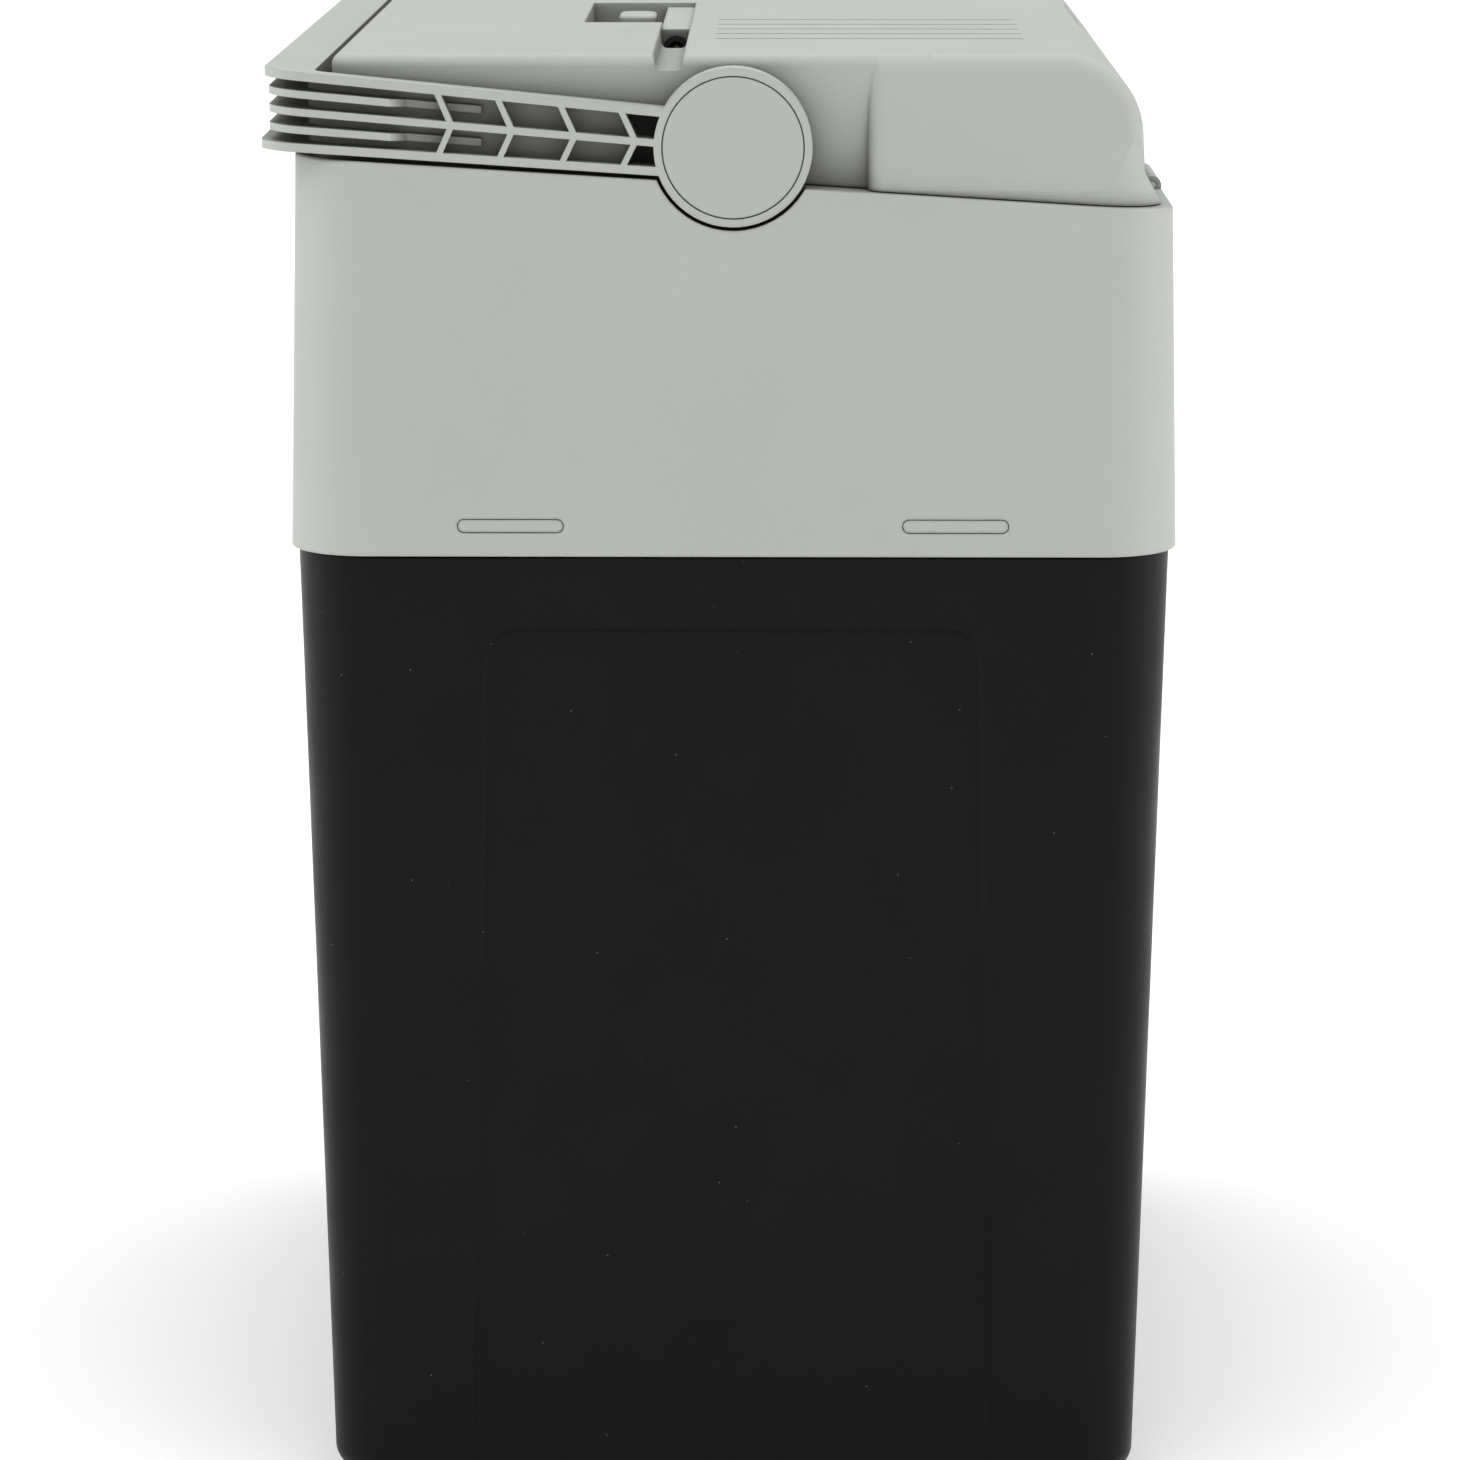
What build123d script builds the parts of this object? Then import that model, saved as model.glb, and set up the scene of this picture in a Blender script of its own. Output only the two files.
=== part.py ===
from build123d import *
import math
import os

os.makedirs("parts", exist_ok=True)

# Portable thermoelectric cool box with a swing-over carry handle.
# X runs along the width, the front faces -Y, Z is up and the floor is z = 0.
# Heights below are read from a datum inside the body; the feet stand at FLOOR_Z,
# and save() lifts every part by the same amount so that they rest on z = 0.

# ---- overall sizes (mm) ----
FLOOR_Z = -12.0
RIM_WIDTH = 420.0
RIM_DEPTH = 296.0
LID_TOP = 490.0
RIM_HEIGHT = 447.7
RIM_TILT = 3.5
SKIRT_BOTTOM = 322.5
SKIRT_DRAFT = 1.37
SKIRT_CORNER = 27.0
SKIRT_WALL = 2.5

# ---- named fits and gaps (mm) ----
RUNNING_FIT = 0.05
PIN_FIT = 0.02
SEAT_GAP = 0.1
ASSEMBLY_GAP = 0.3
RIM_GAP = 0.45

# ---- outer body ----
BODY_BOTTOM = -9.0
BODY_FOOT_R = 9.0
BODY_SHOULDER = 321.7
BODY_WIDTH = RIM_WIDTH - 14.1
BODY_DEPTH = RIM_DEPTH - 14.6
BODY_CORNER = 19.2
BODY_DRAFT = 1.39
BODY_WALL = 3.0
UPSTAND_INSET = 4.2
UPSTAND_TOP = 346.0
PANEL_TOP = 297.6
PANEL_TOP_HALF = 84.5
PANEL_BASE_HALF = 91.7
PANEL_CORNER = 12.0
PANEL_DEPTH = 1.5
PANEL_STEP = 1.7
FOOT_X = 160.0
FOOT_Y = 100.0
FOOT_R = 15.0
FOOT_STEM_R = 4.0
FOOT_STEM_TOP = BODY_BOTTOM + 3.2

# ---- cold chamber ----
WELL_FLOOR = 32.0
WELL_WIDTH = RIM_WIDTH - 81.3
WELL_DEPTH = RIM_DEPTH - 81.3
WELL_CORNER = 24.0
WELL_DRAFT = 1.0
LINER_WALL = 2.0
LINER_FLANGE = 11.0
FRAME_PLATE = 3.0

# ---- locking keys ----
KEY_LENGTH = 36.0
KEY_HEIGHT = 4.8
KEY_Y = 75.0
KEY_Z = 333.0

# ---- handle ----
PIVOT_Z = 460.0
HUB_R = 26.5
HUB_INNER_X = RIM_WIDTH / 2 - 11.6
HUB_OUTER_X = RIM_WIDTH / 2 - 0.4
NOTCH_R = HUB_R + 1.2
NOTCH_FLOOR_X = RIM_WIDTH / 2 - 13.2
EAR_INNER_X = RIM_WIDTH / 2 - 23.2
EAR_R = 16.0
RECESS_FRONT = -37.0
RECESS_TOP = 471.0
AXLE_R = 8.0
AXLE_END_X = RIM_WIDTH / 2 - 6.1
BUSH_R = AXLE_R + 2.0
CAP_R = HUB_R - 2.9
GRIP_FRONT = -RIM_DEPTH / 2 - 8.6
GRIP_MID = -RIM_DEPTH / 2 - 7.2
GRIP_LOW = -RIM_DEPTH / 2 - 10.0
GRIP_BACK = -RIM_DEPTH / 2 + 7.9
WEB_THICK = 2.5
WEB_CORNER = 9.5
RAIL_THICK = 2.9
FIN_THICK = 2.5
RIB_THICK = 2.2
RIB_APEX_Y = (-92.6, -72.4, -51.6, -31.4)
RIB_SWEEP = 4.8
FIN_FULL_Y = -114.0
FIN_STEP_Y = -109.0
FIN_END_Y = -84.0
FIN_LOW_X = (HUB_OUTER_X - 5.2, HUB_OUTER_X - 6.2)

# ---- lid ----
LID_FRONT = -RIM_DEPTH / 2 + 13.1
LID_HALF = RIM_WIDTH / 2 - 14.0
LID_REAR_HALF = RIM_WIDTH / 2 - 4.5
LID_STEP_Y = 45.0
LID_LEAN = 12.0
LID_WALL = 2.8
LID_EDGE_R = 4.0
LID_CORNER_R = 8.0
LID_REAR_R = 27.0
LID_SHOULDER_R = 6.0
LID_STEP_R = 5.0
RIM_EDGE_R = 0.9
LID_TAIL_R = 24.0
LID_WAIST_Y = RIM_DEPTH / 2 - 10.2
LID_WAIST_Z = 451.0
LID_TAIL_Y = RIM_DEPTH / 2 - 3.5
TUB_WALL = 2.2
HINGE_Y = LID_TAIL_Y
HINGE_Z = 439.7
KNUCKLE_R = 3.4
HINGE_PIN_R = 1.5
HINGE_X = 110.0
KNUCKLE_HALF = 15.0
LUG_LENGTH = 8.0
FLANGE_LOW = 4.0
FLANGE_THICK = 2.0
PLUG_WIDTH = RIM_WIDTH - 80.0
PLUG_DEPTH = RIM_DEPTH - 80.0
PLUG_CORNER = 20.0
PLUG_BOTTOM = 424.0
PLUG_WALL = 2.0
LID_SCREWS = (
    (RIM_WIDTH / 2 - 23.5, -RIM_DEPTH / 2 + 63.0),
    (RIM_WIDTH / 2 - 23.5, RIM_DEPTH / 2 - 53.0),
    (95.0, -RIM_DEPTH / 2 + 22.0),
)

# ---- recesses in the lid top ----
TROUGH_HALF = 50.0
TROUGH_FRONT = -55.0
TROUGH_BACK = -27.0
TROUGH_FLOOR = 472.0
CHANNEL_BACK = -16.5
CHANNEL_FLOOR = 484.5
CHANNEL_HIGH = 488.4
CHANNEL_SLOPE = 1.1
POCKET_NEAR = 99.0
POCKET_FAR = 63.0
POCKET_FLOOR = 470.0
SLIDER_Y = -37.0
SLIDER_LENGTH = 28.0
SLIDER_WIDTH = 13.7
SLIDER_TRAVEL = 8.0
INLET_Z = 481.3

# ---- cooling unit ----
UNIT_X = 87.0
UNIT_Y = 43.0
HOT_FAN = 92.0
HOT_FAN_THICK = 15.0
HOT_FAN_Z = 471.0
HOT_SINK_X = 108.0
HOT_SINK_Y = 104.0
HOT_BASE_Z = 450.0
HOT_BASE_THICK = 5.0
PELTIER = 40.0
PELTIER_THICK = 4.0
COLD_SINK = 96.0
COLD_BASE_THICK = 4.0
COLD_FIN = 13.0
COLD_FAN = 80.0
COLD_FAN_THICK = 10.0
COVER = 112.0
COVER_WALL = 2.0
COVER_BOTTOM = 391.0
INTAKE_SLOTS = 5
INTAKE_X = 82.0
INTAKE_Y = 46.5
INTAKE_PITCH = 22.5
INTAKE_WIDTH = 1.8
INTAKE_LENGTH = 107.0
EXHAUST_X0 = -118.0
EXHAUST_X1 = -16.0
EXHAUST_Z0 = 456.0
EXHAUST_Z1 = 484.0

SIDES = (("right", 1), ("left", -1))


def block(x0, x1, y0, y1, z0, z1):
    """Box between two corners."""
    centre = Pos((x0 + x1) / 2, (y0 + y1) / 2, (z0 + z1) / 2)
    return centre * Box(x1 - x0, y1 - y0, z1 - z0)


def rod_x(radius, x0, x1, y, z):
    """Round bar along X."""
    return Pos((x0 + x1) / 2, y, z) * Rot(0, 90, 0) * Cylinder(radius, abs(x1 - x0))


def rod_z(radius, x, y, z0, z1):
    """Round bar along Z."""
    return Pos(x, y, (z0 + z1) / 2) * Cylinder(radius, z1 - z0)


def prism(width, depth, radius, z0, z1):
    """Upright rounded rectangle centred on the box."""
    return extrude(Pos(0, 0, z0) * RectangleRounded(width, depth, radius), z1 - z0)


def drafted(width, depth, radius, z0, z1, draft):
    """Rounded rectangle that widens upward for a positive draft angle."""
    outline = Pos(0, 0, z0) * RectangleRounded(width, depth, radius)
    return extrude(outline, z1 - z0, taper=-draft)


def rim_slab(low, high):
    """Slab parallel to the sloping rim, between two heights above it."""
    slab = Pos(0, 0, (low + high) / 2) * Box(640, 640, high - low)
    return Pos(0, 0, RIM_HEIGHT) * Rot(-RIM_TILT, 0, 0) * slab


def rim_z(y):
    """Height of the rim plane at depth y."""
    return RIM_HEIGHT - math.tan(math.radians(RIM_TILT)) * y


def side_plate(points, x0, x1):
    """Plate drawn in the side view, from x0 to x1."""
    outline = Plane.YZ * Polygon(*points, align=None)
    return Pos(x0, 0, 0) * extrude(outline, x1 - x0, dir=(1, 0, 0))


def flip(shape):
    """Copy of a shape on the other side of the X = 0 plane."""
    return mirror(shape, about=Plane.YZ)


def both(shape):
    """A shape with its mirror copy."""
    return shape + flip(shape)


def near(shape, x, y, z=0.0):
    """Vertex of a shape nearest to a point."""
    return shape.vertices().sort_by_distance((x, y, z))[0]


def save(shape, name):
    """Label one node and write its file."""
    lift = Location((0, 0, -FLOOR_Z))
    solids = [solid.moved(lift) for solid in shape.solids()]
    lifted = solids[0] if len(solids) == 1 else Compound(solids)
    lifted.label = name
    export_step(lifted, f"parts/{name}.step")


# ---------------------------------------------------------------- outer body
body_form = drafted(BODY_WIDTH, BODY_DEPTH, BODY_CORNER, BODY_BOTTOM, BODY_SHOULDER, BODY_DRAFT)
body_form = fillet(body_form.edges().group_by(Axis.Z)[0], BODY_FOOT_R)
body_grow = 2 * math.tan(math.radians(BODY_DRAFT)) * (BODY_SHOULDER - BODY_BOTTOM)
shoulder_width = BODY_WIDTH + body_grow
shoulder_depth = BODY_DEPTH + body_grow
upstand_width = shoulder_width - 2 * UPSTAND_INSET
upstand_depth = shoulder_depth - 2 * UPSTAND_INSET
upstand_corner = BODY_CORNER + 4.0
upstand = prism(upstand_width, upstand_depth, upstand_corner, BODY_SHOULDER - 4, UPSTAND_TOP)
body_core = drafted(
    BODY_WIDTH - 2 * BODY_WALL,
    BODY_DEPTH - 2 * BODY_WALL,
    BODY_CORNER - BODY_WALL,
    BODY_BOTTOM + BODY_WALL,
    BODY_SHOULDER - 4,
    BODY_DRAFT,
)
upstand_core = prism(
    upstand_width - 2 * SKIRT_WALL,
    upstand_depth - 2 * SKIRT_WALL,
    upstand_corner - SKIRT_WALL,
    BODY_SHOULDER - 5,
    UPSTAND_TOP + 1,
)

# sunken side panels, wider toward the floor and open at the bottom
side_normal = Vector(1, 0, -math.tan(math.radians(BODY_DRAFT)))
side_plane = Plane(
    origin=(shoulder_width / 2, 0, BODY_SHOULDER),
    x_dir=(0, 1, 0),
    z_dir=side_normal,
)
panel_drop = BODY_SHOULDER - PANEL_TOP
panel_end = BODY_SHOULDER - BODY_BOTTOM + 8
panel_rate = (PANEL_BASE_HALF - PANEL_TOP_HALF) / (PANEL_TOP - BODY_BOTTOM)
panel_low_half = PANEL_TOP_HALF + panel_rate * (panel_end - panel_drop)
panel_face = Polygon(
    (PANEL_TOP_HALF, -panel_drop),
    (-PANEL_TOP_HALF, -panel_drop),
    (-panel_low_half, -panel_end),
    (panel_low_half, -panel_end),
    align=None,
)
panel_tops = [near(panel_face, s * PANEL_TOP_HALF, -panel_drop) for s in (1, -1)]
panel_face = fillet(panel_tops, PANEL_CORNER)
panel_slope = math.degrees(math.atan(PANEL_STEP / PANEL_DEPTH))
panel_cut = extrude(side_plane * panel_face, -PANEL_DEPTH, taper=panel_slope)
outer_body = body_form + upstand - body_core - upstand_core
outer_body = outer_body - panel_cut - flip(panel_cut)


def key_shape(grow, x0, x1):
    """Stadium bar of a locking key, grown by a gap, at the right front."""
    outline = SlotOverall(KEY_LENGTH + 2 * grow, KEY_HEIGHT + 2 * grow)
    face = Plane.YZ * Pos(-KEY_Y, KEY_Z) * outline
    return Pos(x0, 0, 0) * extrude(face, x1 - x0)


def at_keys(shape):
    """A key feature repeated at the four key places."""
    rear = mirror(shape, about=Plane.XZ)
    return shape + rear + flip(shape) + flip(rear)


key_window = at_keys(key_shape(0.0, RIM_WIDTH / 2 - 12, RIM_WIDTH / 2 + 6))
outer_body = outer_body - key_window
foot_places = [(sx * FOOT_X, sy * FOOT_Y) for sx in (1, -1) for sy in (1, -1)]
for fx, fy in foot_places:
    outer_body = outer_body - rod_z(FOOT_STEM_R + SEAT_GAP, fx, fy, FLOOR_Z, FOOT_STEM_TOP + 1)
save(outer_body, "outer_body")

# ---------------------------------------------------------------- rubber feet
foot_names = ("front", "rear")
for side, sx in SIDES:
    for end, sy in (("front", -1), ("rear", 1)):
        fx = sx * FOOT_X
        fy = sy * FOOT_Y
        pad = rod_z(FOOT_R, fx, fy, FLOOR_Z, BODY_BOTTOM)
        stem = rod_z(FOOT_STEM_R, fx, fy, BODY_BOTTOM, FOOT_STEM_TOP)
        barb = Pos(fx, fy, FOOT_STEM_TOP + 1.0) * Cone(FOOT_STEM_R + 1.0, FOOT_STEM_R - 1.0, 2.0)
        save(pad + stem + barb, f"foot_{side}_{end}")

# ---------------------------------------------------------------- upper frame
skirt_height = 480.0 - SKIRT_BOTTOM
skirt_grow = math.tan(math.radians(SKIRT_DRAFT)) * (rim_z(0) - SKIRT_BOTTOM)
skirt_width = RIM_WIDTH + 2 * skirt_grow
skirt_depth = RIM_DEPTH + 2 * skirt_grow


def skirt_form(inset, low):
    """Tapering block of the upper frame, inset from its outside."""
    return drafted(
        skirt_width - 2 * inset,
        skirt_depth - 2 * inset,
        SKIRT_CORNER - inset,
        low,
        low + skirt_height,
        -SKIRT_DRAFT,
    )


below_rim = rim_slab(-200, 0)
frame_outer = skirt_form(0, SKIRT_BOTTOM) & below_rim
frame_outer = fillet(frame_outer.edges().group_by(Axis.Z)[0], 0.8)
rim_edges = [edge for edge in frame_outer.edges() if abs(edge.center().Z - rim_z(edge.center().Y)) < 0.4]
frame_outer = fillet(rim_edges, RIM_EDGE_R)
frame_inner = skirt_form(SKIRT_WALL, SKIRT_BOTTOM - 1) & rim_slab(-200, -FRAME_PLATE)
well_rise = rim_z(0) - WELL_FLOOR
well_grow = 2 * math.tan(math.radians(WELL_DRAFT)) * well_rise
well_open_width = WELL_WIDTH + well_grow - 2 * LINER_WALL + 0.8
well_open_depth = WELL_DEPTH + well_grow - 2 * LINER_WALL + 0.8
well_open_corner = WELL_CORNER + 5.0
frame_hole = prism(well_open_width, well_open_depth, well_open_corner, 400, 480)
upper_frame = frame_outer - frame_inner

# round seats for the handle hubs, with the ears and axles that carry them
seat = rod_x(NOTCH_R + 2.2, NOTCH_FLOOR_X - SKIRT_WALL, RIM_WIDTH / 2 + 6, 0, PIVOT_Z) & frame_outer
ear = rod_x(EAR_R, EAR_INNER_X, NOTCH_FLOOR_X, 0, PIVOT_Z)
ear = ear + block(EAR_INNER_X, NOTCH_FLOOR_X, -EAR_R, EAR_R, RIM_HEIGHT - 14, PIVOT_Z)
axle = rod_x(AXLE_R, NOTCH_FLOOR_X - 1, AXLE_END_X, 0, PIVOT_Z)
pilot = rod_x(1.6, AXLE_END_X - 15.0, AXLE_END_X + 1, 0, PIVOT_Z)
notch = rod_x(NOTCH_R, NOTCH_FLOOR_X, RIM_WIDTH / 2 + 10, 0, PIVOT_Z)
upper_frame = upper_frame + both(seat) - both(notch)
upper_frame = upper_frame + both(ear) + both(axle) - both(pilot) - frame_hole

# rear hinge stations: a clear seat for the lid knuckle between two lugs
knuckle_seat = rod_x(
    KNUCKLE_R + 0.7,
    HINGE_X - KNUCKLE_HALF - 0.4,
    HINGE_X + KNUCKLE_HALF + 0.4,
    HINGE_Y,
    HINGE_Z,
)
upper_frame = upper_frame - both(knuckle_seat)
lug_starts = (HINGE_X - KNUCKLE_HALF - 0.4 - LUG_LENGTH, HINGE_X + KNUCKLE_HALF + 0.4)
for lug_x in lug_starts:
    lug = rod_x(KNUCKLE_R, lug_x, lug_x + LUG_LENGTH, HINGE_Y, HINGE_Z)
    upper_frame = upper_frame + both(lug)
lug_bore = rod_x(HINGE_PIN_R + PIN_FIT, HINGE_X - 23.4, HINGE_X + 23.4, HINGE_Y, HINGE_Z)
upper_frame = upper_frame - both(lug_bore) - key_window
save(upper_frame, "upper_frame")

# ---------------------------------------------------------------- locking keys
key_face_x = skirt_width / 2 - math.tan(math.radians(SKIRT_DRAFT)) * (KEY_Z - SKIRT_BOTTOM)
upstand_back_x = upstand_width / 2 - SKIRT_WALL
key = key_shape(-ASSEMBLY_GAP, upstand_back_x - 1.5, key_face_x - 0.1)
barb = block(
    upstand_back_x - 1.5,
    upstand_back_x - 0.2,
    -KEY_Y - 8,
    -KEY_Y + 8,
    KEY_Z - 3.4,
    KEY_Z + 3.4,
)
key = key + barb
for side, sx in SIDES:
    for end, sy in (("front", -1), ("rear", 1)):
        placed = key
        if sy > 0:
            placed = mirror(placed, about=Plane.XZ)
        if sx < 0:
            placed = flip(placed)
        save(placed, f"locking_key_{side}_{end}")

# ---------------------------------------------------------------- inner liner
def well_form(inset, low):
    """Tapering block of the cold chamber, inset from the outside of its liner."""
    lift = low - WELL_FLOOR
    widen = 2 * math.tan(math.radians(WELL_DRAFT)) * lift
    return drafted(
        WELL_WIDTH - 2 * inset + widen,
        WELL_DEPTH - 2 * inset + widen,
        WELL_CORNER - inset,
        low,
        475,
        WELL_DRAFT,
    )


liner_top = -FRAME_PLATE - SEAT_GAP
liner_outer = well_form(0, WELL_FLOOR) & rim_slab(-500, liner_top)
liner_outer = fillet(liner_outer.edges().group_by(Axis.Z)[0], 8.0)
liner_space = well_form(LINER_WALL, WELL_FLOOR + LINER_WALL)
liner_space = fillet(liner_space.edges().group_by(Axis.Z)[0], 6.0)
flange_plan = prism(
    well_open_width + 2 * LINER_FLANGE,
    well_open_depth + 2 * LINER_FLANGE,
    well_open_corner + LINER_FLANGE,
    400,
    480,
)
liner_flange = flange_plan & rim_slab(liner_top - LINER_WALL, liner_top)
inner_liner = liner_outer + liner_flange - liner_space
save(inner_liner, "inner_liner")

# ---------------------------------------------------------------- foam core
foam_low = drafted(
    BODY_WIDTH - 2 * BODY_WALL - 0.6,
    BODY_DEPTH - 2 * BODY_WALL - 0.6,
    BODY_CORNER - BODY_WALL,
    BODY_BOTTOM + BODY_WALL + 0.3,
    BODY_SHOULDER - 6,
    BODY_DRAFT,
)
foam_high = prism(
    upstand_width - 2 * SKIRT_WALL - 1.2,
    upstand_depth - 2 * SKIRT_WALL - 1.2,
    upstand_corner - SKIRT_WALL,
    BODY_SHOULDER - 7,
    480,
)
foam_high = foam_high & rim_slab(-200, liner_top - LINER_WALL - 0.4)
foam_core = foam_low + foam_high - drafted(
    WELL_WIDTH + 0.4,
    WELL_DEPTH + 0.4,
    WELL_CORNER,
    WELL_FLOOR - 0.3,
    475,
    WELL_DRAFT,
)
foam_core = foam_core - both(rod_x(NOTCH_R + 3.5, EAR_INNER_X - 1, RIM_WIDTH / 2 + 6, 0, PIVOT_Z))
foam_core = foam_core - both(block(EAR_INNER_X - 1, RIM_WIDTH / 2 + 6, -20, 20, 428, 480))
key_relief = block(
    RIM_WIDTH / 2 - 14, RIM_WIDTH / 2 + 6, -KEY_Y - 21, -KEY_Y + 21, KEY_Z - 6, KEY_Z + 6
)
foam_core = foam_core - at_keys(key_relief)
for fx, fy in foot_places:
    foam_core = foam_core - rod_z(FOOT_STEM_R + 2.5, fx, fy, FLOOR_Z, FOOT_STEM_TOP + 4)
knuckle_relief = rod_x(KNUCKLE_R + 3, HINGE_X - 30, HINGE_X + 30, HINGE_Y, HINGE_Z)
foam_core = foam_core - both(knuckle_relief)
save(foam_core, "foam_core")

# ---------------------------------------------------------------- hinge pins
for side, sx in SIDES:
    pin = rod_x(HINGE_PIN_R, HINGE_X - 23.2, HINGE_X + 23.2, HINGE_Y, HINGE_Z)
    if sx < 0:
        pin = flip(pin)
    save(pin, f"hinge_pin_{side}")

# ---------------------------------------------------------------- carry handle
RAIL_LEFT = -RIM_DEPTH / 2 - 13.0
RAIL_RIGHT = -18.0


def rail_line(z_front, z_hub, y):
    """Height of a rail edge at depth y, from its heights at y = -144 and -26."""
    return z_front + (z_hub - z_front) * (y + 144.0) / 118.0


def strip(front_hub, thickness, y0, y1):
    """Side view outline of a rail centred on a line between two heights."""
    half = thickness / 2
    z0 = rail_line(front_hub[0], front_hub[1], y0)
    z1 = rail_line(front_hub[0], front_hub[1], y1)
    points = ((y0, z0 - half), (y1, z1 - half), (y1, z1 + half), (y0, z0 + half))
    return side_plate(points, -RIM_WIDTH / 2 - 10, RIM_WIDTH / 2 + 10)


TOP_LINE = (483.5, 471.9)
MID_LINE = (471.6, 461.6)
LOW_LINE = (459.8, 452.2)


def between(line_a, line_b):
    """Line midway between two rails."""
    return ((line_a[0] + line_b[0]) / 2, (line_a[1] + line_b[1]) / 2)


def u_plan(front, back, half_out, half_in, r_out, r_in):
    """Upright U of the handle seen from above."""
    long = 400.0
    outer = Pos(0, front + long / 2, 0) * RectangleRounded(2 * half_out, long, r_out)
    inner = Pos(0, back + long / 2, 0) * RectangleRounded(2 * half_in, long, r_in)
    ring = outer - inner
    ring = ring & (Pos(0, -90, 0) * Rectangle(2 * half_out + 80, 180))
    return extrude(Pos(0, 0, 400) * ring, 140)


def rail_plan(front):
    """Plan of a full-depth rail whose front edge is at the given depth."""
    return u_plan(front, GRIP_BACK, HUB_OUTER_X, HUB_INNER_X, 12.0, 4.0)


web_plan = u_plan(
    GRIP_BACK - WEB_THICK,
    GRIP_BACK,
    HUB_INNER_X + WEB_THICK,
    HUB_INNER_X,
    WEB_CORNER,
    4.0,
)
handle = strip(TOP_LINE, RAIL_THICK, RAIL_LEFT, RAIL_RIGHT) & rail_plan(GRIP_FRONT)
handle = handle + (strip(MID_LINE, FIN_THICK, RAIL_LEFT, RAIL_RIGHT) & rail_plan(GRIP_MID))
handle = handle + (strip(LOW_LINE, RAIL_THICK, RAIL_LEFT, RAIL_RIGHT) & rail_plan(GRIP_LOW))

# short fins that fade out along the arms
fade = Polygon(
    (HUB_OUTER_X, FIN_FULL_Y),
    (HUB_OUTER_X + 4, FIN_FULL_Y),
    (HUB_OUTER_X + 4, FIN_END_Y + 4),
    (FIN_LOW_X[1], FIN_END_Y + 4),
    (FIN_LOW_X[1], FIN_END_Y),
    (FIN_LOW_X[0], FIN_STEP_Y),
    align=None,
)
fade_cut = extrude(Pos(0, 0, 400) * fade, 140, dir=(0, 0, 1))
for line in (between(TOP_LINE, MID_LINE), between(MID_LINE, LOW_LINE)):
    fin = strip(line, FIN_THICK, RAIL_LEFT, FIN_END_Y) & rail_plan(GRIP_MID)
    handle = handle + (fin - both(fade_cut))

# web wall between the outer rails, ending at the last rib
apex_y = RIB_APEX_Y[-1]
web_outline = (
    (RAIL_LEFT, rail_line(*LOW_LINE, RAIL_LEFT)),
    (apex_y - RIB_SWEEP, rail_line(*LOW_LINE, apex_y)),
    (apex_y, rail_line(*MID_LINE, apex_y)),
    (apex_y - RIB_SWEEP, rail_line(*TOP_LINE, apex_y)),
    (RAIL_LEFT, rail_line(*TOP_LINE, RAIL_LEFT)),
)
handle = handle + (side_plate(web_outline, -RIM_WIDTH / 2 - 10, RIM_WIDTH / 2 + 10) & web_plan)

# chevron ribs that point at the hub
for apex in RIB_APEX_Y:
    z_top = rail_line(*TOP_LINE, apex)
    z_mid = rail_line(*MID_LINE, apex)
    z_low = rail_line(*LOW_LINE, apex)
    for z_end in (z_top, z_low):
        rib = side_plate(
            (
                (apex - RIB_THICK, z_mid),
                (apex, z_mid),
                (apex - RIB_SWEEP, z_end),
                (apex - RIB_SWEEP - RIB_THICK, z_end),
            ),
            HUB_INNER_X,
            HUB_OUTER_X,
        )
        handle = handle + both(rib)

# hubs: bore for the bush, pocket for washer and screw, seat for the cap
hub = rod_x(HUB_R, HUB_INNER_X, HUB_OUTER_X, 0, PIVOT_Z)
hub_gap = rod_x(BUSH_R + SEAT_GAP, HUB_INNER_X - 1, HUB_OUTER_X, 0, PIVOT_Z)
hub_pocket = rod_x(BUSH_R + 5.0, AXLE_END_X - 0.2, HUB_OUTER_X, 0, PIVOT_Z)
cap_seat_x = HUB_OUTER_X - 2.4
cap_seat = rod_x(CAP_R + ASSEMBLY_GAP, cap_seat_x, HUB_OUTER_X + 1, 0, PIVOT_Z)
handle = handle - both(rod_x(HUB_R - 0.01, HUB_INNER_X - 8, HUB_OUTER_X + 5, 0, PIVOT_Z))
handle = handle + both(hub) - both(hub_gap + hub_pocket + cap_seat)
save(handle, "carry_handle")

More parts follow.
